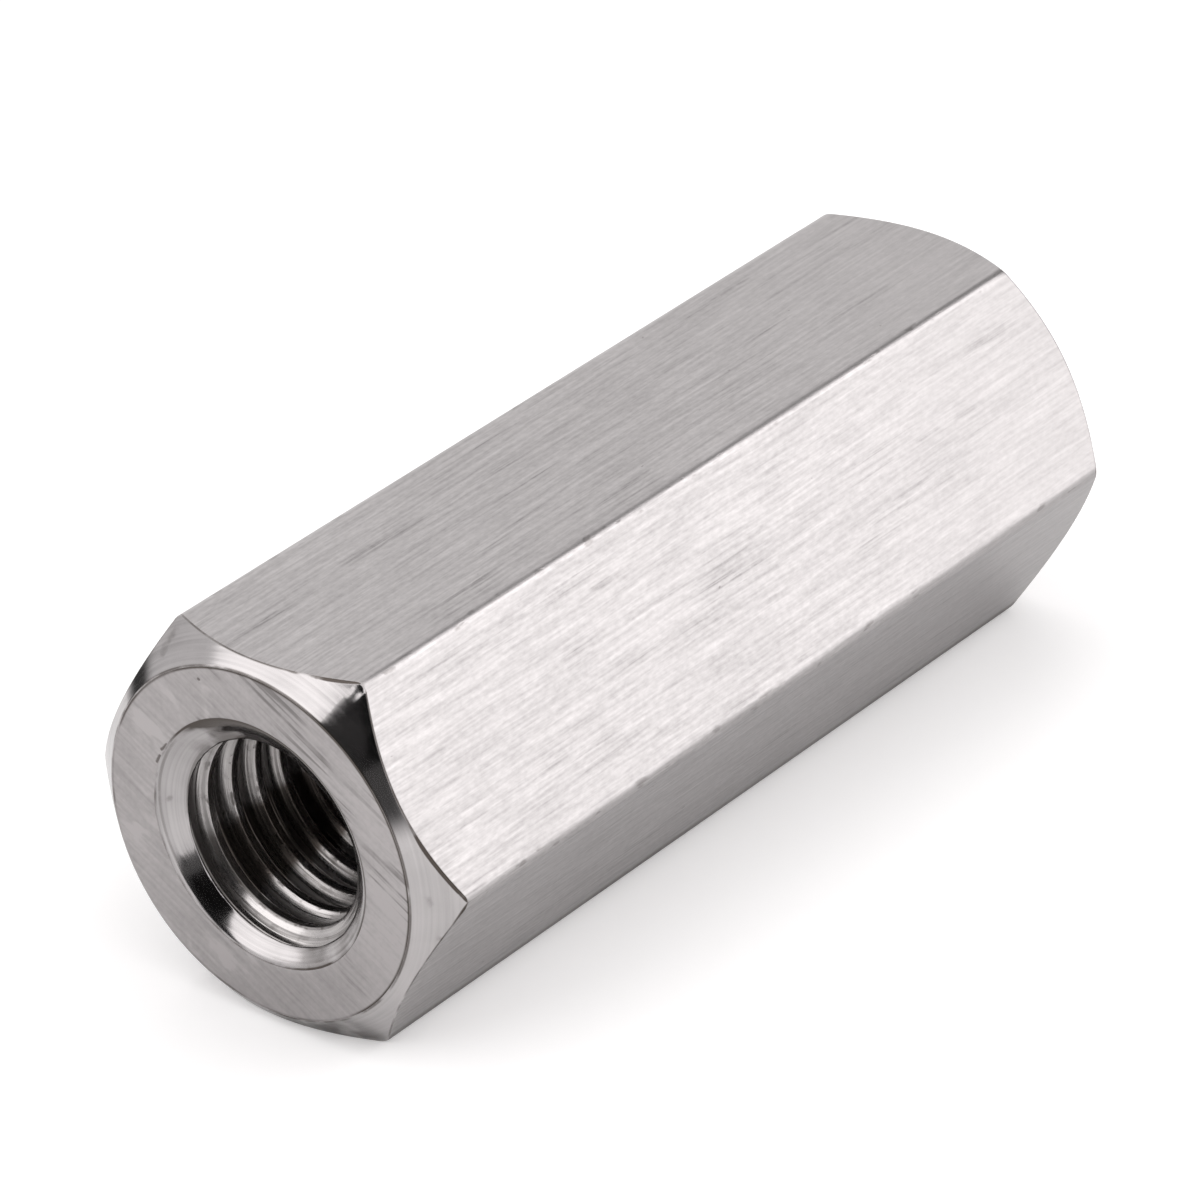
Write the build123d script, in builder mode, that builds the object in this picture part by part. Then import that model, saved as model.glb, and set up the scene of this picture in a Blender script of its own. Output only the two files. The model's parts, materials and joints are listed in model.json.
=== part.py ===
from build123d import *
from math import radians, tan
import os

# A coupling nut: one long hexagon nut that joins two M10 threaded rods end to end.
# It is made from a single length of drawn hexagon bar, so it is one solid.
# It lies on one of its six flats with the thread's axis along X. The origin is on
# the supporting surface, under the middle of the nut. Lengths are in millimetres.

# Driving dimensions
across_flats = 17.0
length = 46.0
ridge_radius = 0.65         # the drawn bar's six long ridges are slightly round
end_face_diameter = 15.95   # the flat ring that the turned edge leaves
end_chamfer_angle = 41.0    # slope of the turned edge, from the end face's plane
bore_diameter = 8.65        # the crests of the M10 x 1.5 thread
countersink_diameter = 11.2
countersink_angle = 120.0   # the whole angle of the cone

# Derived dimensions
axis_height = across_flats / 2
end_face_radius = end_face_diameter / 2
blank_radius = across_flats * 0.6   # a little more than the hexagon's corners
chamfer_length = (blank_radius - end_face_radius) * tan(radians(end_chamfer_angle))

# The end faces, each as a plane that looks out along the axis, and the lengthwise
# section through the axis
near_end = Plane(origin=(-length / 2, 0, axis_height), x_dir=(0, 1, 0), z_dir=(-1, 0, 0))
far_end = Plane(origin=(length / 2, 0, axis_height), x_dir=(0, 1, 0), z_dir=(1, 0, 0))
section = Plane(origin=(0, 0, axis_height), x_dir=(1, 0, 0), z_dir=(0, -1, 0))

with BuildPart() as coupling_nut:
    # Hexagon bar, with one flat underneath
    with BuildSketch(near_end):
        RegularPolygon(across_flats / 2, 6, major_radius=False)
        fillet(vertices(), ridge_radius)
    extrude(amount=-length)

    # Turned ends: the bar keeps only what lies inside a blank with a cone at each end
    with BuildSketch(section):
        with BuildLine():
            turned_edge = Line(
                (length / 2, end_face_radius), (length / 2 - chamfer_length, blank_radius)
            )
            end_ring = Line((length / 2, 0), turned_edge @ 0)
            outside = Line(turned_edge @ 1, (0, blank_radius))
            mirror([turned_edge, end_ring, outside], about=Plane.YZ)
            Line((-length / 2, 0), (length / 2, 0))
        make_face()
    revolve(axis=Axis(section.origin, section.x_dir), mode=Mode.INTERSECT)

    # Bore right through, countersunk at both mouths
    with Locations(near_end, far_end):
        CounterSinkHole(bore_diameter / 2, countersink_diameter / 2, length, countersink_angle)

coupling_nut.part.label = "coupling_nut"
os.makedirs("parts", exist_ok=True)
export_step(coupling_nut.part, "parts/coupling_nut.step")
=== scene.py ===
"""Looks of a stainless steel coupling nut: its skin, tapped thread, finishes and studio.

The nut is drawn hexagon bar, belt-brushed along its flats, faced and turned at both ends,
countersunk and tapped right through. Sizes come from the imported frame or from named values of
the dataclasses below. Lengths are in metres. The skin is built in a lathe frame, with z along
the thread's axis and x and y across it, and is then turned to lie on its flat.
"""

import json
import logging
import math
from dataclasses import dataclass, field
from enum import Enum
from typing import Any, Optional, Sequence, Union

import bmesh
import bpy
import numpy as np
from mathutils import Matrix, Vector


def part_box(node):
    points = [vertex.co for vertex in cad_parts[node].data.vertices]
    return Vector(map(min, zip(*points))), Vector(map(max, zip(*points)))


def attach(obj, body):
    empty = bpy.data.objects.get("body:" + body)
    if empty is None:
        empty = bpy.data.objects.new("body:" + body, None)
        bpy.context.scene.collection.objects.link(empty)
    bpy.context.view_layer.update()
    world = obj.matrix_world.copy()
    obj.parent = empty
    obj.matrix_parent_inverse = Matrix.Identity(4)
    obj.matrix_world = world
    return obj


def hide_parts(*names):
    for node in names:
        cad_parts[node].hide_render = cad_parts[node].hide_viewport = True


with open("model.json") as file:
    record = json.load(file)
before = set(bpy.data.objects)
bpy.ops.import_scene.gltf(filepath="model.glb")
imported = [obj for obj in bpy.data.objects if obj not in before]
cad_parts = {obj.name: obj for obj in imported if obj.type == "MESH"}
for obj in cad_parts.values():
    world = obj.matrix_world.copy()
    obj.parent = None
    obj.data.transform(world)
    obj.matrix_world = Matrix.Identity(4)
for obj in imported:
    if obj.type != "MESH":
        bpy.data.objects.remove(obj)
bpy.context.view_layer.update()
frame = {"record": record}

MM = 0.001
NODE = "coupling_nut"
SIXTH = math.pi / 3
FULL_TURN = 2 * math.pi
SNAP = 0.005 * MM  # points nearer than this to a ring are the ring's own
SUNK = 0.02 * MM  # where the countersink cuts the thread back further, it is countersink

log = logging.getLogger("nut")

Color = tuple[float, float, float]
Triple = tuple[float, float, float]


class Region(Enum):
    """The differently finished areas of the nut. The value is the material's place on the mesh."""

    FLATS = 0
    END_FACES = 1
    TURNED_EDGES = 2
    MOUTHS = 3
    THREAD = 4


# --------------------------------------------------------------------------------------------
# Shader building
# --------------------------------------------------------------------------------------------


class Signal:
    """A node's output socket, on which Python's own operators add Math nodes."""

    def __init__(self, shader: "Shader", socket: bpy.types.NodeSocket) -> None:
        """Wraps one output socket of a shader's tree."""
        self.shader = shader
        self.socket = socket

    def math(self, operation: str, *others: Union["Signal", float]) -> "Signal":
        """Returns a Math node's result on this signal and the others."""
        return self.shader.math(operation, self, *others)

    def __add__(self, other: Union["Signal", float]) -> "Signal":
        """self + other."""
        return self.math("ADD", other)

    __radd__ = __add__

    def __sub__(self, other: Union["Signal", float]) -> "Signal":
        """self - other."""
        return self.math("SUBTRACT", other)

    def __rsub__(self, other: float) -> "Signal":
        """other - self."""
        return self.shader.math("SUBTRACT", other, self)

    def __mul__(self, other: Union["Signal", float]) -> "Signal":
        """self * other."""
        return self.math("MULTIPLY", other)

    __rmul__ = __mul__

    def __truediv__(self, other: Union["Signal", float]) -> "Signal":
        """self / other."""
        return self.math("DIVIDE", other)

    def rise(self, low: float, high: float) -> "Signal":
        """A smooth step that is 0 up to low and 1 from high."""
        settings = {"interpolation_type": "SMOOTHSTEP"}
        return self.shader.node("ShaderNodeMapRange", settings, {0: self, 1: low, 2: high})

    def fall(self, low: float, high: float) -> "Signal":
        """A smooth step that is 1 up to low and 0 from high."""
        return 1 - self.rise(low, high)

    def limited(self) -> "Signal":
        """This signal, kept from 0 to 1."""
        return self.shader.node("ShaderNodeClamp", {}, {"Value": self})


class Shader:
    """The node tree of a material or of the world."""

    def __init__(self, tree: bpy.types.NodeTree) -> None:
        """Takes a tree and clears it."""
        self.tree = tree
        self.tree.nodes.clear()

    def node(self, kind: str, settings: Optional[dict[str, Any]] = None,
             values: Optional[dict[Any, Any]] = None, output: Union[int, str] = 0) -> Signal:
        """Adds a node.

        Args:
            kind: The node's type.
            settings: Its own properties, which are set before its sockets.
            values: A constant, or a signal to link, for each input's name or number.
            output: The name or number of the output to return.

        Returns:
            That output.
        """
        node = self.tree.nodes.new(kind)
        for name, setting in (settings or {}).items():
            setattr(node, name, setting)
        for name, value in (values or {}).items():
            if isinstance(value, Signal):
                self.tree.links.new(value.socket, node.inputs[name])
            else:
                node.inputs[name].default_value = value
        return Signal(self, node.outputs[output] if len(node.outputs) else None)

    def math(self, operation: str, *terms: Union[Signal, float]) -> Signal:
        """Returns the result of a Math node on signals and numbers."""
        return self.node("ShaderNodeMath", {"operation": operation}, dict(enumerate(terms)))

    def parts(self, vector: Signal) -> tuple[Signal, Signal, Signal]:
        """Splits a vector into x, y and z."""
        split = self.node("ShaderNodeSeparateXYZ", {}, {0: vector}).socket.node
        return tuple(Signal(self, outlet) for outlet in split.outputs)

    def vector(self, x: Any, y: Any, z: Any) -> Signal:
        """Joins three values into a vector."""
        return self.node("ShaderNodeCombineXYZ", {}, {0: x, 1: y, 2: z})

    def noise(self, x: Any, y: Any, z: Any, detail: float = 2.0, roughness: float = 0.5) -> Signal:
        """Noise at a place that is already counted in cells."""
        values = {"Vector": self.vector(x, y, z), "Scale": 1.0,
                  "Detail": detail, "Roughness": roughness}
        return self.node("ShaderNodeTexNoise", {}, values)

    def mix(self, share: Any, first: Any, second: Any) -> Signal:
        """Mixes two colours: the first at share 0 and the second at share 1."""
        return self.node("ShaderNodeMix", {"data_type": "RGBA"}, {0: share, 6: first, 7: second}, 2)

    def scaled(self, color: Any, factor: Any) -> Signal:
        """A colour multiplied by a value."""
        settings = {"operation": "SCALE"}
        return self.node("ShaderNodeVectorMath", settings, {0: color, "Scale": factor})

    def bump(self, height: Signal, depth: float) -> Signal:
        """The normal of a surface whose height signal runs from 0 to 1 over a depth in metres."""
        return self.node("ShaderNodeBump", {}, {"Height": height, "Distance": depth}, "Normal")


# --------------------------------------------------------------------------------------------
# Finishes. Their noise is laid out in cells to the metre, and a rise or fall of it says how much
# of the surface a mark takes: from 0.5 it is about half, and from 0.7 it is a few spots.
# --------------------------------------------------------------------------------------------


@dataclass(frozen=True)
class Marks:
    """What tools and handling leave on a surface, and the shade painted on it.

    Attributes:
        wear: Dullness, from 0 to 1.
        height: Height of the surface, from 0 to 1.
        grime_and_shade: Cutting oil and scale left along edges, and painted shade, from 0 to 1.
    """

    wear: Signal
    height: Signal
    grime_and_shade: Signal


@dataclass(frozen=True)
class Steel:
    """What every finish of the nut shares: bare stainless steel.

    Attributes:
        color: The metal's colour.
        stain: Its colour in scratches and dull streaks.
        grime_and_shade: Its colour where oil and scale have stayed, and where shade is painted.
        film: How far that darkening hides the metal's own shine, from 0 to 1.
        gloss: Roughness where it is brightest.
        dull: Roughness where it is dullest.
        relief: What a height of 1 stands for, in metres.
        grain: How much its highlights are drawn out across the tool marks, from 0 to 1.
        grain_turn: The direction of the tool marks: 0 along the nut, 0.25 round it.
    """

    color: Color = (0.555, 0.534, 0.534)
    stain: Color = (0.265, 0.253, 0.253)
    grime_and_shade: Color = (0.085, 0.072, 0.064)
    film: float = 0.16
    gloss: float = 0.28
    dull: float = 0.36
    relief: float = 0.007 * MM
    grain: float = 0.0
    grain_turn: float = 0.0

    def material(self, name: str) -> bpy.types.Material:
        """Makes the material.

        Args:
            name: The material's name.

        Returns:
            A metal whose marks come from the finish's own marks method.
        """
        made = bpy.data.materials.new(name)
        made.use_nodes = True
        shader = Shader(made.node_tree)
        place = shader.node("ShaderNodeTexCoord", output="Object")
        marks = self.marks(shader, *shader.parts(place))
        wear, grime_and_shade = marks.wear.limited(), marks.grime_and_shade.limited()
        metal = shader.mix(wear, (*self.color, 1), (*self.stain, 1))
        values = {
            "Base Color": shader.mix(grime_and_shade, metal, (*self.grime_and_shade, 1)),
            "Roughness": self.gloss + wear * (self.dull - self.gloss),
            "Metallic": 1 - grime_and_shade * self.film,
            "Normal": shader.bump(marks.height, self.relief),
            "Anisotropic": self.grain,
            "Anisotropic Rotation": self.grain_turn,
        }
        surface = shader.node("ShaderNodeBsdfPrincipled", {}, values)
        shader.node("ShaderNodeOutputMaterial", {}, {"Surface": surface})
        return made

    def marks(self, shader: Shader, x: Signal, y: Signal, z: Signal) -> Marks:
        """The finish's tool marks.

        Args:
            shader: The tree to add to.
            x: The place's first coordinate across the nut, in metres.
            y: Its second coordinate across the nut.
            z: Its coordinate along the nut.

        Returns:
            The marks there.
        """
        raise NotImplementedError


@dataclass(frozen=True)
class BrushedFlats(Steel):
    """Drawn flats, brushed lengthwise by a belt.

    Attributes:
        flat_distance: From the nut's axis to a flat.
        half_length: From the nut's middle to an end.
        end_ring_radius: Outside of the flat ring on an end face.
        edge_slope: Slope of the turned edge that ends the flat, from the end face.
        fading: How much of the streaks is worn away towards the nut's positive end.
        ridge_start: From a flat's middle to where the ridges' rounding starts.
    """

    grain: float = 0.5
    flat_distance: float = 8.5 * MM
    half_length: float = 23 * MM
    end_ring_radius: float = 7.975 * MM
    edge_slope: float = math.radians(41)
    fading: float = 0.35
    ridge_start: float = 4.55 * MM

    def marks(self, shader: Shader, x: Signal, y: Signal, z: Signal) -> Marks:
        """Streaks, bundles of scratches, nicked ridges, dark lines along the turned edges, and
        painted shade along the ridges it rests on.

        Args:
            shader: The tree to add to.
            x: The place's first coordinate across the nut, in metres.
            y: Its second coordinate across the nut.
            z: Its coordinate along the nut.

        Returns:
            The marks there.
        """
        angle = y.math("ARCTAN2", x)
        flat = (angle / SIXTH).math("FLOOR")
        across = (angle - (flat + 0.5) * SIXTH).math("TANGENT") * self.flat_distance
        seed = flat * 7.3
        wander = (shader.noise(across * 115, z * 57, seed + 31.0) - 0.5) * 0.2 * MM
        line = across + wander
        streaks = shader.noise(line * 5200, z * 230, seed, 2.0, 0.55)
        fine = shader.noise(line * 9000, z * 420, seed + 2.3, 2.0, 0.6)
        grain = shader.noise(line * 5800, z * 2700, seed + 3.1, 2.0, 0.6)
        broad = shader.noise(line * 1300, z * 80, seed + 5.7)
        cloud = shader.noise(across * 185, z * 115, seed + 9.2)
        patch = shader.noise(across * 760, z * 150, seed + 17.0).rise(0.51, 0.66)
        scratches = shader.noise(line * 5400, z * 110, seed + 13.9, 2.0).rise(0.50, 0.72) * patch
        beads = shader.noise(line * 6500, z * 2200, seed + 23.0, 2.0)
        pits = shader.noise(across * 3500, z * 2000, seed + 21.4, 1.0).rise(0.78, 0.85)
        past_flat = across.math("ABSOLUTE") - self.ridge_start
        ridge = past_flat.rise(0, 0.2 * MM)
        nicks = shader.noise(across * 1900, z * 900, seed + 27.0, 2.0).rise(0.60, 0.70) * ridge
        worn = 1 - z.rise(2 * MM, 20 * MM) * self.fading
        wear = (0.45 + (cloud - 0.5) * 0.15
                + worn * ((streaks - 0.5) * 0.75 + (fine - 0.5) * 0.6 + (grain - 0.5) * 0.55
                          + (broad - 0.5) * 0.1 + scratches * beads * 0.8))
        height = (streaks * 0.6 + fine * 0.3 + grain * 0.1 - scratches * beads * 0.5 - pits * 0.4
                  - nicks * 0.8)
        corner = (across * across + self.flat_distance**2).math("SQRT") - self.end_ring_radius
        turned = self.half_length - corner * math.tan(self.edge_slope)
        rim = (turned - z.math("ABSOLUTE")).fall(0.01 * MM, 0.06 * MM)
        # Painted shade: the flats darken next to the two bottom ridges, where they reflect the
        # shaded floor under the nut.
        above_floor = y + self.flat_distance
        painted_contact_shade = past_flat.rise(-0.5 * MM, -0.1 * MM) * above_floor.fall(0.6 * MM, 1.1 * MM)
        grime_and_shade = (pits * 0.4 + nicks * 0.35 + rim * (cloud.rise(0.35, 0.6) * 0.5 + 0.1)
                 + painted_contact_shade * (cloud.rise(0.3, 0.6) * 0.2 + 0.55))
        return Marks(wear, height, grime_and_shade)


@dataclass(frozen=True)
class GroundFace(Steel):
    """End faces ground flat, with straight parallel lines.

    Attributes:
        line_angle: Direction of the lines across the face.
        ring_radius: Outside of the face.
        mouth_radius: Inside of the face.
        knocks: Start and end of short knocks on the face, across the nut in millimetres.
        knock_core: How far from its line a knock is at full depth.
        knock_edge: How far from its line a knock ends.
        clean_start: Where the face starts to be cleaner, along the first coordinate across.
        clean_full: Where it is cleanest.
    """

    color: Color = (0.48, 0.456, 0.456)
    stain: Color = (0.32, 0.304, 0.304)
    gloss: float = 0.33
    dull: float = 0.50
    relief: float = 0.008 * MM
    line_angle: float = math.radians(30)
    ring_radius: float = 7.975 * MM
    mouth_radius: float = 5.6 * MM
    knocks: tuple[tuple[tuple[float, float], tuple[float, float]], ...] = (
        ((5.32, 2.10), (5.12, 2.45)), ((5.00, 2.78), (4.72, 3.10)), ((2.60, 6.90), (2.64, 6.92)),
    )
    knock_core: float = 0.03 * MM
    knock_edge: float = 0.10 * MM
    clean_start: float = -4 * MM
    clean_full: float = -8 * MM

    def marks(self, shader: Shader, x: Signal, y: Signal, z: Signal) -> Marks:
        """Fine lines with deeper ones in bundles, knocks, and dark lines along both rims.

        Args:
            shader: The tree to add to.
            x: The place's first coordinate across the nut, in metres.
            y: Its second coordinate across the nut.
            z: Its coordinate along the nut.

        Returns:
            The marks there.
        """
        cosine = math.cos(self.line_angle)
        sine = math.sin(self.line_angle)
        along = x * cosine + y * sine
        across = y * cosine - x * sine
        seed = z.math("SIGN") * 4.7
        fine = shader.noise(along * 200, across * 5000, seed, 3.0, 0.6)
        cloud = shader.noise(along * 320, across * 400, seed + 12.3, 3.0)
        speckle = shader.noise(x * 4600, y * 4600, seed + 15.0, 1.0)
        radius = (x * x + y * y).math("SQRT")
        uneven = shader.noise(x * 320, y * 320, seed + 19.0, 3.0) + (y - x) * 18
        nearer = (y * 0.9 - x * 0.44) * 34 - 0.09
        patch = (shader.noise(along * 230, across * 300, seed + 8.0) + nearer).rise(0.50, 0.66)
        deep = shader.noise(along * 150, across * 4300, seed + 6.1, 1.0).rise(0.52, 0.66) * patch
        beside = shader.noise(x * 260, y * 260, seed + 24.0) + (x * 0.9 + y * 0.4) * 26 - 0.1
        short = (shader.noise(along * 520, across * 1500, seed + 27.0, 2.0).rise(0.50, 0.66)
                 * beside.rise(0.50, 0.62))
        rim = radius.rise(self.ring_radius - 0.17 * MM, self.ring_radius - 0.07 * MM)
        lip = radius.fall(self.mouth_radius + 0.04 * MM, self.mouth_radius + 0.09 * MM)
        clean = x.fall(self.clean_full, self.clean_start)
        wear = (0.4 + (fine - 0.5) * 1.2 + (cloud - 0.5) * 0.7 + (speckle - 0.5) * 0.5
                + deep * 0.8 - short * 0.7 - clean * 0.4)
        grime_and_shade = rim * uneven.rise(0.22, 0.55) + lip * uneven.rise(0.48, 0.62) * 0.6
        knocked = self.knocked(shader, x, y)
        height = fine - deep * 0.8 - short * 0.5 - knocked
        return Marks(wear, height, grime_and_shade + deep * 0.3 + knocked * 0.75)

    def knocked(self, shader: Shader, x: Signal, y: Signal) -> Signal:
        """The short knocks on the face.

        Args:
            shader: The tree to add to.
            x: The place's first coordinate across the nut, in metres.
            y: Its second coordinate across the nut.

        Returns:
            1 inside a knock and 0 outside.
        """
        ragged = (shader.noise(x * 5200, y * 5200, 41.0, 1.0) - 0.5) * 0.10 * MM
        total = None
        for (start_x, start_y), (end_x, end_y) in self.knocks:
            span_x, span_y = (end_x - start_x) * MM, (end_y - start_y) * MM
            from_x, from_y = x - start_x * MM, y - start_y * MM
            share = ((from_x * span_x + from_y * span_y) / (span_x**2 + span_y**2)).limited()
            off_x, off_y = from_x - share * span_x, from_y - share * span_y
            off = (off_x * off_x + off_y * off_y).math("SQRT") + ragged
            knock = off.fall(self.knock_core, self.knock_edge)
            total = knock if total is None else total.math("MAXIMUM", knock)
        return total


@dataclass(frozen=True)
class DarkStretch:
    """A darkened stretch round a turned cone. It marks oil smears, torn edges and painted shade.

    Attributes:
        angle: Its middle, in degrees round the nut.
        reach: How far it reaches to each side, in degrees.
        strength: How dark it is, from 0 to 1.
    """

    angle: float
    reach: float
    strength: float

    def share(self, angle: Signal) -> Signal:
        """How dark the stretch makes the cone at an angle in radians."""
        core, gone = (math.cos(math.radians(self.reach * part)) for part in (0.25, 1))
        return (angle - math.radians(self.angle)).math("COSINE").rise(gone, core) * self.strength


@dataclass(frozen=True)
class TurnedEdge(Steel):
    """Turned cones, polished by the tool, with faint rings.

    Attributes:
        ring_radius: Radius of the edge that the cone shares with the end face.
        flat_distance: From the nut's axis to a flat.
        ring_depth: How strongly the tool's rings show.
        smears_and_shade: Stretches darkened round the nut: patchy oil, and painted shade where the
            cone reflects the shaded floor.
        rim_shade: Where painted shade darkens the rounded edge shared with the end face, as the
            dark it reflects.
        torn_edges: Where the edge along a flat is torn.
        torn_width: How much wider the dark line is along a torn edge.
        line_start: How far from an edge its dark line starts.
        line_full: How far from an edge its dark line is darkest.
        rim_shade_start: How far inside its edge the rim's painted shade starts.
        rim_shade_full: How far inside its edge the rim's painted shade is darkest.
        chatter: How dark the tool's deepest rings are, from 0 to 1.
    """

    color: Color = (0.56, 0.538, 0.538)
    stain: Color = (0.38, 0.365, 0.365)
    gloss: float = 0.08
    dull: float = 0.22
    relief: float = 0.003 * MM
    grain: float = 0.4
    grain_turn: float = 0.25
    ring_radius: float = 7.975 * MM
    flat_distance: float = 8.5 * MM
    ring_depth: float = 0.9
    # The stretch at 254 degrees is painted shade, the shaded floor under the nut that the cone's
    # underside reflects; the one at 133 degrees is a faint patchy darkening.
    smears_and_shade: tuple[DarkStretch, ...] = (DarkStretch(133, 24, 0.25), DarkStretch(254, 19, 0.85))
    rim_shade: DarkStretch = DarkStretch(0, 1, 0.0)
    torn_edges: tuple[DarkStretch, ...] = (DarkStretch(171, 16, 1.0), DarkStretch(111, 10, 0.8))
    torn_width: float = 0.075 * MM
    line_start: float = 0.07 * MM
    line_full: float = 0.02 * MM
    rim_shade_start: float = 0.46 * MM
    rim_shade_full: float = 0.16 * MM
    chatter: float = 0.06

    def marks(self, shader: Shader, x: Signal, y: Signal, z: Signal) -> Marks:
        """Turning rings broken up round the nut, smudges, dark lines along both edges, and painted
        shade.

        Args:
            shader: The tree to add to.
            x: The place's first coordinate across the nut, in metres.
            y: Its second coordinate across the nut.
            z: Its coordinate along the nut.

        Returns:
            The marks there.
        """
        radius = (x * x + y * y).math("SQRT")
        angle = y.math("ARCTAN2", x)
        rings = shader.noise(radius * 10700, x * 120, y * 120, 2.0)
        bold = shader.noise(radius * 4200, x * 90, y * 90, 1.0).rise(0.50, 0.66)
        smudge = shader.noise(x * 475, y * 475, z * 475, 3.0)
        uneven = shader.noise(x * 700, y * 700, z * 700, 3.0) + (y - x) * 14
        off_flat = (angle - ((angle / SIXTH).math("FLOOR") + 0.5) * SIXTH).math("COSINE")
        torn = sum(place.share(angle) for place in self.torn_edges) * uneven.rise(0.42, 0.60)
        to_flat = radius * off_flat - self.flat_distance + torn * self.torn_width
        edge = to_flat.rise(-self.line_start, -self.line_full)
        to_ring = radius - self.ring_radius
        ring = to_ring.math("ABSOLUTE").fall(self.line_full, self.line_start)
        # Painted shade, broken up by the smudge noise, in the listed stretches round the nut.
        smeared_and_shaded = sum(dark_stretch.share(angle) for dark_stretch in self.smears_and_shade) * smudge.rise(0.36, 0.56)
        # Painted shade along the mouth's rounded rim, where it reflects a dark part of the studio,
        # made ragged by the smudge noise.
        rim_shaded = (to_ring + (smudge - 0.5) * 0.4 * MM).rise(-self.rim_shade_start, -self.rim_shade_full)
        wear = (0.25 + (rings - 0.5) * self.ring_depth + (smudge - 0.5) * 0.9
                + bold * self.ring_depth * 0.2)
        grime_and_shade = (smudge.rise(0.66, 0.74) * 0.4 + edge * (uneven.rise(0.34, 0.66) * 0.8 + torn * 0.4)
                 + ring * uneven.rise(0.30, 0.62) * 0.8 + smeared_and_shaded
                 + self.rim_shade.share(angle) * rim_shaded
                 + bold * uneven.fall(0.42, 0.60) * self.chatter)
        return Marks(wear, rings * 0.6 - bold * 0.4, grime_and_shade)


@dataclass(frozen=True)
class TappedWall(Steel):
    """The thread's own surface, torn a little by the tap.

    Attributes:
        pitch: The thread's pitch.
        crest_radius: Radius of the thread's crests.
        half_length: From the nut's middle to an end.
        shade_angle: Where round the bore the painted shade is darkest.
    """

    color: Color = (0.53, 0.51, 0.505)
    stain: Color = (0.18, 0.168, 0.163)
    gloss: float = 0.16
    dull: float = 0.42
    relief: float = 0.014 * MM
    pitch: float = 1.5 * MM
    crest_radius: float = 4.325 * MM
    half_length: float = 23 * MM
    shade_angle: float = math.radians(-42)

    def marks(self, shader: Shader, x: Signal, y: Signal, z: Signal) -> Marks:
        """Lines along the helix, short tears on the crests, and painted shade that darkens inwards
        and on one side of the bore.

        Args:
            shader: The tree to add to.
            x: The place's first coordinate across the nut, in metres.
            y: Its second coordinate across the nut.
            z: Its coordinate along the nut.

        Returns:
            The marks there.
        """
        turn = y.math("ARCTAN2", x)
        radius = (x * x + y * y).math("SQRT")
        depth = self.half_length - z.math("ABSOLUTE")
        climb = z - turn * (self.pitch / FULL_TURN)
        lines = shader.noise(climb * 12200, x * 170, y * 170, 2.0, 0.6)
        grooves = shader.noise(climb * 6800, x * 110, y * 110, 1.0).rise(0.50, 0.62)
        tears = shader.noise(climb * 4000, x * 2000, y * 2000, 2.0).rise(0.50, 0.68)
        ragged = shader.noise(x * 1500, y * 1500, z * 3000, 2.0)
        crest = radius.fall(self.crest_radius + 0.04 * MM, self.crest_radius + 0.16 * MM)
        root = radius.rise(self.crest_radius + 0.55 * MM, self.crest_radius + 0.79 * MM)
        lip = (depth + (ragged - 0.5) * 0.5 * MM).fall(0.80 * MM, 0.92 * MM)
        # Painted shade: the wall darkens deeper into the bore, and most on the side where the
        # crests' highlights fade into the dark of the bore.
        inside = depth.rise(1.3 * MM, 7.2 * MM)
        side_shade = ((turn - self.shade_angle).math("COSINE").rise(0.915, 0.970)
                * depth.rise(0.9 * MM, 2.0 * MM))
        wear = 0.12 + (lines - 0.5) * 1.6 + grooves * 0.40 + tears * crest * 0.5 + tears * 0.2
        height = lines * 0.5 - grooves * 0.5 - tears * crest * 0.5
        grime_and_shade = inside * 0.4 + root * 0.35 + side_shade * 0.92 + lip * ragged.rise(0.42, 0.54) * 0.7
        return Marks(wear, height, grime_and_shade)


# --------------------------------------------------------------------------------------------
# Geometry
# --------------------------------------------------------------------------------------------


def smooth_max(first: np.ndarray, second: Any, blend: float) -> np.ndarray:
    """The larger of two values, with the change from one to the other rounded over a blend."""
    near = np.maximum(blend - np.abs(first - second), 0)
    return np.maximum(first, second) + near**2 / (4 * blend)


def smooth_min(first: np.ndarray, second: Any, blend: float) -> np.ndarray:
    """The smaller of two values, with the change from one to the other rounded over a blend."""
    return -smooth_max(-first, -np.asarray(second), blend)


@dataclass(frozen=True)
class Thread:
    """A coarse metric internal thread, right-handed, cut along the lathe frame's z.

    Attributes:
        crest_radius: Radius of its crests.
        pitch: Distance between crests.
        start: Where a crest crosses the x axis, in pitches from the nut's middle.
        rounding: Blend at its crests' and roots' edges.
        fine_rows: Mesh rows to a pitch near the mouths.
    """

    crest_radius: float
    pitch: float = 1.5 * MM
    start: float = -0.016
    rounding: float = 0.05 * MM
    fine_rows: int = 36

    @property
    def depth(self) -> float:
        """From crest to root: five eighths of the basic triangle's height."""
        return 5 / 8 * self.pitch * math.cos(math.pi / 6)

    def radius(self, z: np.ndarray, angle: np.ndarray) -> np.ndarray:
        """The thread's wall.

        Args:
            z: Places along the axis.
            angle: Angles round it, from the x axis towards the y axis.

        Returns:
            The wall's radius at each place and angle.
        """
        turns = z / self.pitch - angle / FULL_TURN - self.start
        off_crest = np.abs((turns + 0.5) % 1.0 - 0.5) * self.pitch - self.pitch / 8
        rise = smooth_max(off_crest / math.tan(math.pi / 6), 0.0, self.rounding)
        return self.crest_radius + smooth_min(rise, self.depth, self.rounding)

    def coarse_offsets(self) -> np.ndarray:
        """Rows of one pitch that meet the profile's corners, in pitches from a crest's middle."""
        crest, root, corner = 1 / 8, 7 / 16, 0.02
        half = [crest - corner, crest + corner, (crest + root) / 2, root - corner, root + corner]
        return np.sort(np.array([0, 0.5, *half, *(1 - edge for edge in half)]))

    def fine_offsets(self) -> np.ndarray:
        """Evenly spaced rows of one pitch."""
        return np.arange(self.fine_rows) / self.fine_rows


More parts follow.
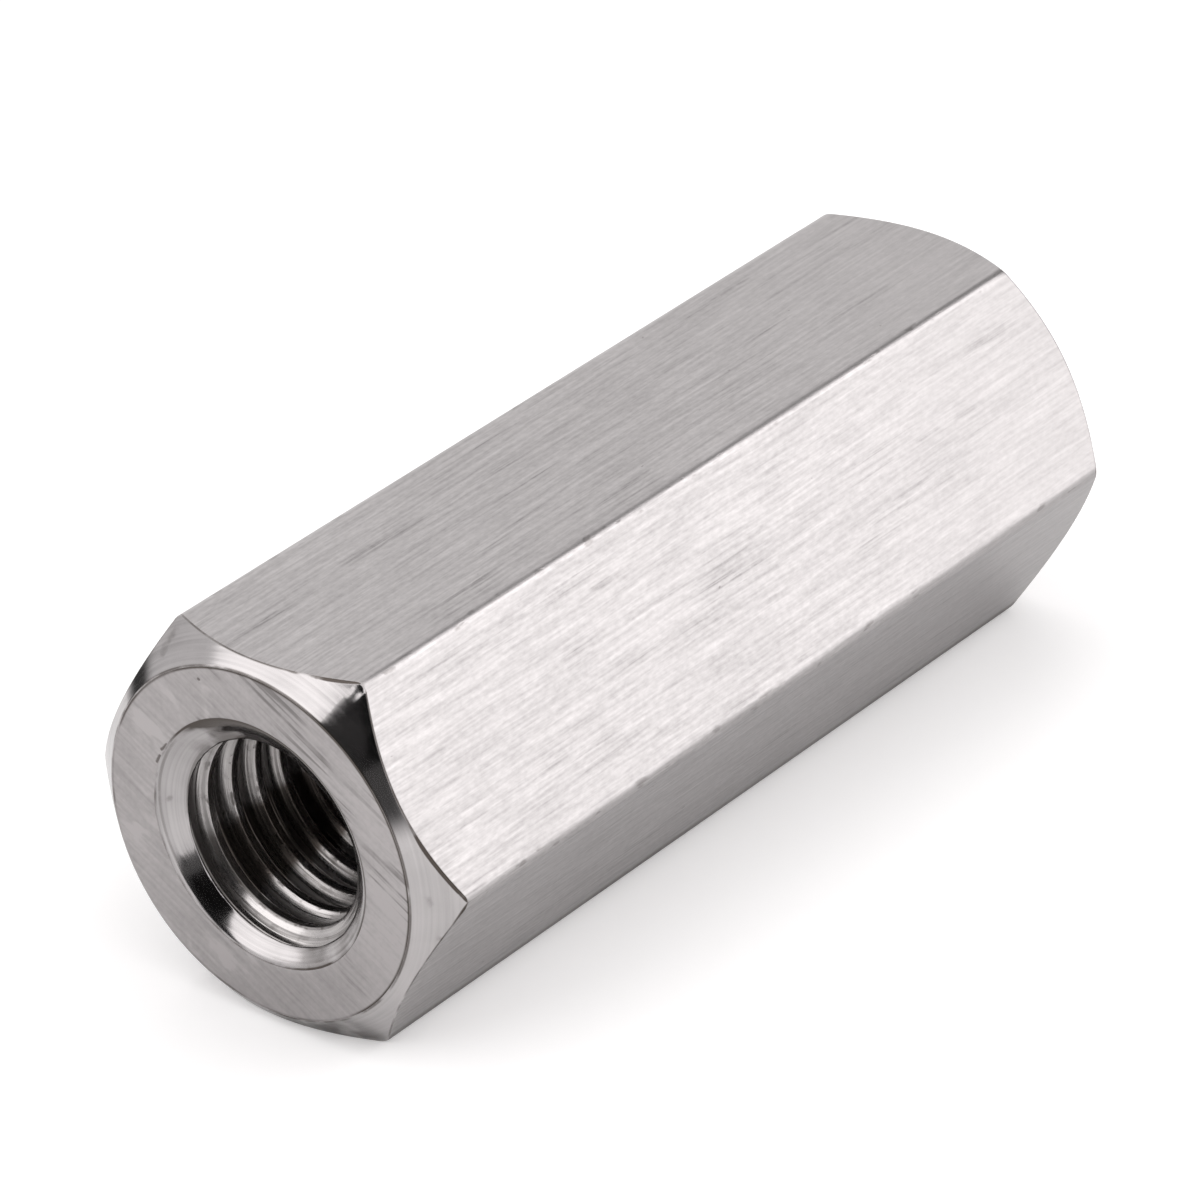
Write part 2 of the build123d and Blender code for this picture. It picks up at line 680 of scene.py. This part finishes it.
@dataclass(frozen=True)
class Dent:
    """A knock on the outside of the nut.

    Attributes:
        angle: Where it is round the axis, in degrees.
        radius: Its middle's distance from the axis.
        z: Its middle's place along the axis.
        size: How far it reaches.
        depth: How far it moves the surface towards the axis. Below zero it is a burr.
    """

    angle: float
    radius: float
    z: float
    size: float
    depth: float

    def pressed(self, points: np.ndarray) -> np.ndarray:
        """Presses the dent into points.

        Args:
            points: One row for each point.

        Returns:
            The points, moved by the dent.
        """
        turn = math.radians(self.angle)
        middle = (self.radius * math.cos(turn), self.radius * math.sin(turn), self.z)
        away = np.linalg.norm(points - middle, axis=1)
        push = self.depth * np.maximum(1 - (away / self.size) ** 2, 0) ** 2
        distance = np.linalg.norm(points[:, :2], axis=1)
        moved = points.copy()
        moved[:, :2] *= (1 - push / distance)[:, None]
        return moved


@dataclass(frozen=True)
class Chip:
    """A place where the tap has broken the countersink's inner edge away.

    Attributes:
        angle: Its middle round the axis, in degrees.
        reach: How far it reaches to each side, in degrees.
        depth: How much it widens the edge.
    """

    angle: float
    reach: float
    depth: float

    def cut(self, angle: np.ndarray) -> np.ndarray:
        """How much the edge is widened at each angle in radians."""
        off = (np.degrees(angle) - self.angle + 180) % 360 - 180
        return self.depth * np.maximum(1 - (off / self.reach) ** 2, 0) ** 2


class Skin:
    """Collects rings of points and the faces between them, and makes the mesh."""

    def __init__(self, angles: np.ndarray) -> None:
        """Takes the angle of each of a ring's points, in rising order over one turn."""
        self.angles = angles
        self.points: list[np.ndarray] = []
        self.count = 0
        self.faces: list[tuple[int, ...]] = []
        self.regions: list[Region] = []
        self.smooth: list[bool] = []

    def add(self, points: np.ndarray) -> np.ndarray:
        """Adds points.

        Args:
            points: One row for each point.

        Returns:
            Their numbers.
        """
        self.points.append(points)
        self.count += len(points)
        return np.arange(self.count - len(points), self.count)

    def ring(self, radius: Any, z: Any) -> np.ndarray:
        """Adds a ring round the axis.

        Args:
            radius: One radius, or one for each point.
            z: One place along the axis, or one for each point.

        Returns:
            Its points' numbers.
        """
        radius = np.broadcast_to(radius, self.angles.shape)
        z = np.broadcast_to(z, self.angles.shape)
        flat = [radius * np.cos(self.angles), radius * np.sin(self.angles), z]
        return self.add(np.stack(flat, axis=1))

    def face(self, corners: Sequence[int], region: Region, smooth: bool) -> None:
        """Adds a face, unless fewer than three of its corners differ.

        Args:
            corners: Its corners' numbers, in order.
            region: Its finish.
            smooth: Whether it is shaded smooth.
        """
        kept = tuple(dict.fromkeys(int(corner) for corner in corners))
        if len(kept) > 2:
            self.faces.append(kept)
            self.regions.append(region)
            self.smooth.append(smooth)

    def band(self, first: np.ndarray, second: np.ndarray, region: Region,
             smooth: Any = True) -> None:
        """Joins two rings by quads.

        Args:
            first: One ring's numbers.
            second: The next ring's numbers.
            region: The finish of the quads.
            smooth: Whether they are shaded smooth, for all or for each.
        """
        smooth = np.broadcast_to(smooth, first.shape)
        after = np.roll(np.arange(len(first)), -1)
        for here, there in enumerate(after):
            corners = (first[here], first[there], second[there], second[here])
            self.face(corners, region, bool(smooth[here]))

    def mesh(self, name: str, dents: Sequence[Dent] = ()) -> bpy.types.Mesh:
        """Makes the closed mesh, with its normals outwards.

        Args:
            name: The mesh's name.
            dents: Knocks to press in.

        Returns:
            The mesh.
        """
        points = np.concatenate(self.points)
        for dent in dents:
            points = dent.pressed(points)
        made = bpy.data.meshes.new(name)
        made.from_pydata(points.tolist(), [], self.faces)
        made.polygons.foreach_set("material_index", [region.value for region in self.regions])
        made.polygons.foreach_set("use_smooth", self.smooth)
        solid = bmesh.new()
        solid.from_mesh(made)
        bmesh.ops.recalc_face_normals(solid, faces=solid.faces)
        open_edges = sum(not edge.is_manifold for edge in solid.edges)
        solid.to_mesh(made)
        solid.free()
        made.update()
        log.info("%s: %d faces, %d open edges", name, len(made.polygons), open_edges)
        return made


@dataclass
class CouplingNut:
    """The whole nut.

    Attributes:
        length: Along the axis.
        across_flats: Between opposite flats.
        across_ridges: Between opposite ridges, over their rounding.
        thread: The thread right through it.
        wall_length: How much of the bore lies between the two countersinks.
        end_ring_radius: Outside of the flat ring on each end face.
        edge_slope: Slope of the turned edges, from the end face.
        mouth_slope: Slope of the countersinks, from the end face.
        finishes: The finish of each region.
        flat_columns: Mesh columns across a flat.
        ridge_columns: Mesh columns round a ridge.
        body_rows: Mesh rows along the flats.
        cone_rows: Mesh rows down a turned edge, as shares of its width.
        face_rows: Mesh rows across an end face, as shares of its width.
        end_zone: How far from the ends the rows along the flats stay.
        fine_zone: How far from the ends the thread's rows are fine.
        flat_rounding: How far the rounding between flats and turned edges reaches.
        ring_rounding: How far the rounding between turned edges and end faces reaches.
        mouth_rounding: How far the rounding of the countersinks' rims reaches.
        run_out: Blend of the thread into the countersinks.
        dents: Knocks on the outside.
        chips: Breaks in the inner edge of the countersink at the negative end.
        chip_start: How deep in the mouth the breaks start.
        chip_full: How deep in the mouth they are whole.
    """

    length: float
    across_flats: float
    across_ridges: float
    thread: Thread
    wall_length: float
    end_ring_radius: float = 7.975 * MM
    edge_slope: float = math.radians(41)
    mouth_slope: float = math.radians(30)
    finishes: dict[Region, Steel] = field(default_factory=dict)
    flat_columns: int = 20
    ridge_columns: int = 8
    body_rows: int = 24
    cone_rows: tuple[float, ...] = (0.03, 0.07, 0.12, 0.18, 0.26, 0.36, 0.5, 0.65, 0.8, 0.94)
    face_rows: tuple[float, ...] = (0.03, 0.35, 0.65, 0.97)
    end_zone: float = 2.1 * MM
    fine_zone: float = 3.2 * MM
    flat_rounding: float = 0.06 * MM
    ring_rounding: float = 0.04 * MM
    mouth_rounding: float = 0.28 * MM
    run_out: float = 0.06 * MM
    dents: tuple[Dent, ...] = (
        Dent(121, 9.7 * MM, -21.40 * MM, 0.32 * MM, 0.05 * MM),
        Dent(122, 9.4 * MM, -21.80 * MM, 0.30 * MM, -0.02 * MM),
        Dent(118, 9.3 * MM, -21.75 * MM, 0.24 * MM, 0.03 * MM),
        Dent(61, 9.7 * MM, 20.6 * MM, 0.50 * MM, 0.06 * MM),
        Dent(181, 9.7 * MM, -21.4 * MM, 0.30 * MM, 0.04 * MM),
    )
    chips: tuple[Chip, ...] = (
        Chip(92, 48, 0.26 * MM), Chip(20, 30, 0.10 * MM), Chip(52, 9, 0.09 * MM),
        Chip(75, 7, 0.07 * MM), Chip(108, 8, 0.08 * MM), Chip(133, 10, 0.06 * MM),
        Chip(-62, 22, 0.08 * MM), Chip(-98, 12, 0.06 * MM), Chip(200, 25, 0.08 * MM),
    )
    chip_start: float = 0.20 * MM
    chip_full: float = 0.65 * MM

    @classmethod
    def from_frame(cls, record: dict[str, Any]) -> "CouplingNut":
        """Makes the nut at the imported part's sizes.

        Args:
            record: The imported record.

        Returns:
            The nut, with its finishes.
        """
        low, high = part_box(NODE)
        bore = next(mount for mount in record["mounts"] if mount["name"] == "thread")
        thread = Thread(crest_radius=bore["dims"]["r_mm"] * MM)
        size = high - low
        nut = cls(size.x, size.z, size.y, thread, bore["dims"]["length_mm"] * MM)
        nut.finishes = {
            Region.FLATS: BrushedFlats(
                flat_distance=nut.across_flats / 2, half_length=nut.length / 2,
                end_ring_radius=nut.end_ring_radius, edge_slope=nut.edge_slope),
            Region.END_FACES: GroundFace(
                ring_radius=nut.end_ring_radius, mouth_radius=nut.mouth_radius),
            Region.TURNED_EDGES: TurnedEdge(
                ring_radius=nut.end_ring_radius, flat_distance=nut.across_flats / 2),
            Region.MOUTHS: TurnedEdge(
                color=(0.51, 0.490, 0.490), stain=(0.32, 0.306, 0.306), gloss=0.09, dull=0.20,
                ring_radius=nut.mouth_radius, ring_depth=1.2, chatter=0.4,
                # The stretches at 60 and 226 degrees are painted shade, the shaded floor beside the
                # nut that the countersink reflects; the rim stretch at 84 degrees is painted shade,
                # a dark reflection along the rounded rim.
                smears_and_shade=(DarkStretch(60, 24, 0.7), DarkStretch(226, 34, 0.42)), rim_shade=DarkStretch(84, 46, 1.2)),
            Region.THREAD: TappedWall(
                pitch=thread.pitch, crest_radius=thread.crest_radius, half_length=nut.length / 2),
        }
        return nut

    @property
    def mouth_radius(self) -> float:
        """Radius of the countersinks at the end faces."""
        sink_depth = (self.length - self.wall_length) / 2
        return self.thread.crest_radius + sink_depth / math.tan(self.mouth_slope)

    def outline(self) -> tuple[np.ndarray, np.ndarray, np.ndarray]:
        """The rounded hexagon.

        Returns:
            Angle and radius of each point round it, and whether the stretch from each point to
            the next lies on a ridge.
        """
        reach = self.across_flats / 2
        corner = reach / math.cos(SIXTH / 2)
        rounding = (corner - self.across_ridges / 2) / (1 / math.cos(SIXTH / 2) - 1)
        half_flat = (reach - rounding) * math.tan(SIXTH / 2)
        turns = np.linspace(-SIXTH / 2, SIXTH / 2, self.ridge_columns + 1)[:-1]
        steps = np.linspace(-half_flat, half_flat, self.flat_columns + 1)[:-1]
        ridge_middle = (reach - rounding) / math.cos(SIXTH / 2)
        ridge = ridge_middle + rounding * np.exp(1j * turns)
        flat = (reach + 1j * steps) * np.exp(1j * SIXTH / 2)
        side = np.concatenate([ridge, flat])
        points = np.concatenate([side * np.exp(1j * SIXTH * turn) for turn in range(6)])
        on_ridge = np.tile(np.arange(len(side)) < self.ridge_columns, 6)
        angles = np.unwrap(np.angle(points))
        first = int(np.argmax(angles >= 0))
        order = np.roll(np.arange(len(points)), -first)
        return np.sort(angles % FULL_TURN), np.abs(points)[order], on_ridge[order]

    def corner(self, before: Any, corner: Any, after: Any, size: float,
               steps: int = 4) -> list[Any]:
        """Rounds one corner of the section through the axis.

        Args:
            before: Direction from the corner back along the section, as (depth, radius).
            corner: The sharp corner, as (depth, radius). Both may be arrays.
            after: Direction from the corner on along the section.
            size: How far from the corner the rounding starts and ends.
            steps: Number of points.

        Returns:
            Points of the rounded corner, as (depth, radius).
        """
        made = []
        for share in np.linspace(0, 1, steps):
            back, on = (1 - share) ** 2 * size, share**2 * size
            made.append(tuple(corner[k] + before[k] * back + after[k] * on for k in (0, 1)))
        return made

    def end_section(self, radius: np.ndarray) -> list[tuple[Any, Any, Region]]:
        """The section of one end, from a flat over the turned edge and the face into the mouth.

        Args:
            radius: The hexagon's radius at each angle.

        Returns:
            Depth below the end face, radius, and the region up to the next point.
        """
        slope, sink = self.edge_slope, self.mouth_slope
        cone_depth = (radius - self.end_ring_radius) * math.tan(slope)
        up_cone = (-math.sin(slope), -math.cos(slope))
        down_cone = (math.sin(slope), math.cos(slope))
        into_mouth = (math.sin(sink), -math.cos(sink))
        edge = self.corner((1, 0), (cone_depth, radius), up_cone, self.flat_rounding)
        ring = self.corner(down_cone, (0, self.end_ring_radius), (0, -1), self.ring_rounding)
        mouth = self.corner((0, 1), (0, self.mouth_radius), into_mouth, self.mouth_rounding, 8)
        lip, sunk = mouth[:3], mouth[3:]
        section = [(*point, Region.TURNED_EDGES) for point in edge]
        section[0] = (*edge[0], Region.FLATS)
        for share in self.cone_rows:
            depth = edge[-1][0] + (ring[0][0] - edge[-1][0]) * share
            out = edge[-1][1] + (ring[0][1] - edge[-1][1]) * share
            section.append((depth, out, Region.TURNED_EDGES))
        section += [(*point, Region.TURNED_EDGES) for point in ring]
        section[-1] = (*ring[-1], Region.END_FACES)
        for share in self.face_rows:
            out = ring[-1][1] + (mouth[0][1] - ring[-1][1]) * share
            section.append((0, out, Region.END_FACES))
        section += [(*point, Region.END_FACES) for point in lip]
        section += [(*point, Region.MOUTHS) for point in sunk]
        return section

    def wall_radius(self, z: np.ndarray, angle: np.ndarray) -> np.ndarray:
        """The bore's wall: the thread, cut back by the countersinks.

        Args:
            z: Places along the axis.
            angle: Angles round it.

        Returns:
            The wall's radius at each place and angle.
        """
        depth = self.length / 2 - np.abs(z)
        broken = sum(chip.cut(angle) for chip in self.chips) * (z < 0)
        share = np.clip((depth - self.chip_start) / (self.chip_full - self.chip_start), 0, 1)
        broken = broken * share**2 * (3 - 2 * share)
        sink = self.mouth_radius - depth / math.tan(self.mouth_slope) + broken
        return smooth_max(self.thread.radius(z, angle), sink, self.run_out)

    def thread_band(self, skin: Skin, first: np.ndarray, last: np.ndarray, start: float,
                    stop: float, offsets: np.ndarray) -> None:
        """Fills the bore between two rings with rows that follow the helix.

        Args:
            skin: Where to add.
            first: The lower ring's numbers.
            last: The upper ring's numbers.
            start: The lower ring's z.
            stop: The upper ring's z.
            offsets: The rows of one pitch, in pitches from a crest's middle.
        """
        pitch = self.thread.pitch
        turns = np.arange(math.floor(start / pitch) - 3, math.ceil(stop / pitch) + 3)
        rows = ((turns[:, None] + offsets).ravel() + self.thread.start) * pitch
        z = rows[:, None] + skin.angles * pitch / FULL_TURN
        numbers = np.where(z < (start + stop) / 2, first, last)
        inside = (z > start + SNAP) & (z < stop - SNAP)
        angles = np.broadcast_to(skin.angles, z.shape)[inside]
        radius = self.wall_radius(z[inside], angles)
        flat = [radius * np.cos(angles), radius * np.sin(angles), z[inside]]
        numbers[inside] = skin.add(np.stack(flat, axis=1))
        per_pitch = len(offsets)
        count = len(skin.angles)
        after = np.concatenate([numbers[:-per_pitch, 1:], numbers[per_pitch:, :1]], axis=1)
        here = numbers[:-per_pitch]
        middle_z = z[:-per_pitch]
        middle_angle = np.broadcast_to(skin.angles, middle_z.shape)
        sunk = self.wall_radius(middle_z, middle_angle) - self.thread.radius(middle_z, middle_angle)
        touched = inside[:-per_pitch] | np.roll(inside, -1, axis=0)[:-per_pitch]
        touched |= np.roll(touched, -1, axis=1) | np.roll(touched, 1, axis=1)
        for row, column in zip(*np.nonzero(touched[:-1])):
            corners = (here[row, column], after[row, column],
                       after[row + 1, column], here[row + 1, column])
            region = Region.MOUTHS if sunk[row, column] > SUNK else Region.THREAD
            skin.face(corners, region, True)

    def build(self) -> bpy.types.Object:
        """Builds the nut's mesh and lays it on its flat in the frame.

        Returns:
            The nut.
        """
        angles, radius, on_ridge = self.outline()
        skin = Skin(angles)
        section = self.end_section(radius)
        half = self.length / 2
        inner_rings, outer_rings = [], []
        for side in (-1, 1):
            rings = [skin.ring(out, side * (half - depth)) for depth, out, _ in section]
            for place, (_, _, region) in enumerate(section[:-1]):
                planar = region is Region.END_FACES and not np.any(section[place + 1][0])
                skin.band(rings[place], rings[place + 1], region, not planar)
            outer_rings.append(rings[0])
            inner_rings.append(rings[-1])
        body_end = half - self.end_zone
        rows = [skin.ring(radius, z) for z in np.linspace(-body_end, body_end, self.body_rows)]
        body = [outer_rings[0], *rows, outer_rings[1]]
        for lower, upper in zip(body, body[1:]):
            skin.band(lower, upper, Region.FLATS, on_ridge)
        mouth_z = half - section[-1][0]
        fine_z = half - self.fine_zone
        near = skin.ring(self.wall_radius(np.full_like(angles, -fine_z), angles), -fine_z)
        far = skin.ring(self.wall_radius(np.full_like(angles, fine_z), angles), fine_z)
        fine, coarse = self.thread.fine_offsets(), self.thread.coarse_offsets()
        self.thread_band(skin, inner_rings[0], near, -mouth_z, -fine_z, fine)
        self.thread_band(skin, near, far, -fine_z, fine_z, coarse)
        self.thread_band(skin, far, inner_rings[1], fine_z, mouth_z, fine)
        piece = bpy.data.objects.new("nut", skin.mesh("nut", self.dents))
        bpy.context.scene.collection.objects.link(piece)
        low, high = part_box(NODE)
        lying = Matrix(((0, 0, 1), (1, 0, 0), (0, 1, 0))).to_4x4()
        piece.matrix_world = Matrix.Translation((low + high) / 2) @ lying
        return piece

    def dress(self, piece: bpy.types.Object) -> None:
        """Gives each region of the piece its finish, in the order of the regions' values."""
        for region in Region:
            piece.data.materials.append(self.finishes[region].material(region.name.lower()))


# --------------------------------------------------------------------------------------------
# Studio
# --------------------------------------------------------------------------------------------


@dataclass(frozen=True)
class Panel:
    """A soft panel or flag of the studio, far from the nut. Angles are in degrees.

    Attributes:
        azimuth: Where it starts and ends round the nut, counterclockwise from the x axis.
        elevation: Where it starts and ends above the floor.
        level: Its brightness.
        edge: Width of its faded edges.
        lean: How far its sides lean, in degrees of azimuth to a degree of elevation.
    """

    azimuth: tuple[float, float]
    elevation: tuple[float, float]
    level: float
    edge: float = 6.0
    lean: float = 0.0

    def share(self, shader: Shader, direction: Signal, elevation: Signal) -> Signal:
        """How much of the panel a direction sees, from 0 to 1.

        Args:
            shader: The world's tree.
            direction: The direction looked in.
            elevation: Its elevation in degrees.

        Returns:
            The share.
        """
        middle = math.radians(sum(self.azimuth) / 2)
        ahead = (math.cos(middle), math.sin(middle), 0)
        aside = (-math.sin(middle), math.cos(middle), 0)
        facing = [shader.node("ShaderNodeVectorMath", {"operation": "DOT_PRODUCT"},
                              {0: direction, 1: axis}, "Value") for axis in (aside, ahead)]
        turned = facing[0].math("ARCTAN2", facing[1]) * math.degrees(1)
        lifted = elevation - sum(self.elevation) / 2
        half_width = (self.azimuth[1] - self.azimuth[0]) / 2
        half_height = (self.elevation[1] - self.elevation[0]) / 2
        beside = (turned - lifted * self.lean).math("ABSOLUTE")
        above = lifted.math("ABSOLUTE")
        return (beside.fall(half_width - self.edge / 2, half_width + self.edge / 2)
                * above.fall(half_height - self.edge / 2, half_height + self.edge / 2))


@dataclass(frozen=True)
class Studio:
    """Floor, light and camera.

    Attributes:
        walls: Brightness of the studio's walls.
        backdrop: Brightness of what the camera sees behind the nut.
        tint: The light's colour.
        panels: Panels and flags, each laid over the ones before it.
        floor_low: The corner of the floor's sheet with the smallest x and y.
        floor_high: Its opposite corner.
        floor_color: How much light the floor reflects.
        floor_glow: Light that comes through the floor's sheet from below.
        floor_lift: What the camera sees on top of that, which keeps the nut's shadow faint.
        camera_place: Where the camera stands.
        camera_target: What its middle points at.
        camera_roll: Its turn about its own axis, in degrees.
        lens: Its focal length in millimetres, on a sensor 36 mm wide.
    """

    walls: float = 1.06
    backdrop: float = 1.1
    tint: Color = (1.0, 0.985, 0.985)
    panels: tuple[Panel, ...] = (
        Panel((-200, 200), (54, 100), 1.4, 10),
        Panel((-66, -20), (-12, 42), 2.07, 8),
        Panel((-40, -18), (33, 48), 3.5, 8),
        Panel((-9, 19), (-10, 56), 0.12, 5),
        Panel((82, 120), (-4, 30), 0.77, 8),
        Panel((60, 100), (-15, -4), 0.05, 7),
        Panel((119, 190), (9, 60), 1.7, 6),
        Panel((124, 175), (7, 22), 1.9, 5),
        Panel((178, 204), (-11, 30), 0.10, 10),
        Panel((198, 219), (-1, 30), 0.07, 12),
        Panel((172, 206), (-2, 50), 0.006, 2.5, 0.75),
    )
    floor_low: tuple[float, float] = (-75 * MM, -70 * MM)
    floor_high: tuple[float, float] = (90 * MM, 50 * MM)
    floor_color: Color = (0.82, 0.82, 0.82)
    floor_glow: float = 0.02
    floor_lift: float = 0.25
    camera_place: Triple = (-212.37 * MM, -178.13 * MM, 168.13 * MM)
    camera_target: Triple = (-0.19 * MM, 0.62 * MM, 8.93 * MM)
    camera_roll: float = 2.65
    lens: float = 226.36

    def light(self) -> None:
        """Lights the scene from all round by the walls and the panels."""
        world = bpy.data.worlds.new("studio")
        world.use_nodes = True
        bpy.context.scene.world = world
        shader = Shader(world.node_tree)
        direction = shader.node("ShaderNodeTexCoord", output="Generated")
        elevation = shader.parts(direction)[2].math("ARCSINE") * math.degrees(1)
        level = self.walls
        for panel in self.panels:
            share = panel.share(shader, direction, elevation)
            level = level + share * (panel.level - level)
        seen = shader.node("ShaderNodeLightPath", output="Is Camera Ray")
        level = level + seen * (self.backdrop - level)
        glow = shader.node("ShaderNodeBackground", {}, {"Color": shader.scaled(self.tint, level)})
        shader.node("ShaderNodeOutputWorld", {}, {"Surface": glow})

    def lay_floor(self) -> None:
        """Lays a plain pale floor under the nut."""
        (left, front), (right, back) = self.floor_low, self.floor_high
        corners = [(left, front, 0), (right, front, 0), (right, back, 0), (left, back, 0)]
        mesh = bpy.data.meshes.new("floor")
        mesh.from_pydata(corners, [], [(0, 1, 2, 3)])
        floor = bpy.data.objects.new("floor", mesh)
        bpy.context.scene.collection.objects.link(floor)
        sheet = bpy.data.materials.new("floor")
        sheet.use_nodes = True
        shader = Shader(sheet.node_tree)
        seen = shader.node("ShaderNodeLightPath", output="Is Camera Ray")
        values = {
            "Base Color": (*self.floor_color, 1),
            "Roughness": 0.9,
            "Emission Color": shader.scaled(self.tint, self.floor_glow + seen * self.floor_lift),
            "Emission Strength": 1.0,
        }
        surface = shader.node("ShaderNodeBsdfPrincipled", {}, values)
        shader.node("ShaderNodeOutputMaterial", {}, {"Surface": surface})
        mesh.materials.append(sheet)

    def set_camera(self) -> None:
        """Stands the camera where it sees the near end and three flats."""
        data = bpy.data.cameras.new("camera")
        data.lens = self.lens
        data.sensor_width = 36.0
        camera = bpy.data.objects.new("camera", data)
        bpy.context.scene.collection.objects.link(camera)
        sight = Vector(self.camera_target) - Vector(self.camera_place)
        turn = sight.to_track_quat("-Z", "Y").to_matrix().to_4x4()
        roll = Matrix.Rotation(math.radians(-self.camera_roll), 4, "Z")
        camera.matrix_world = Matrix.Translation(self.camera_place) @ turn @ roll
        bpy.context.scene.camera = camera


def main() -> None:
    """Builds the nut and the studio, and reports the piece."""
    logging.basicConfig(level=logging.INFO, format="%(message)s")
    nut = CouplingNut.from_frame(frame["record"])
    piece = nut.build()
    nut.dress(piece)
    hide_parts(NODE)
    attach(piece, "root")
    log.info("nut: %.1f mm long, %.1f mm across flats", nut.length / MM, nut.across_flats / MM)
    studio = Studio()
    studio.light()
    studio.lay_floor()
    studio.set_camera()
    bpy.context.scene.view_settings.view_transform = "Standard"


if __name__ == "__main__":
    main()
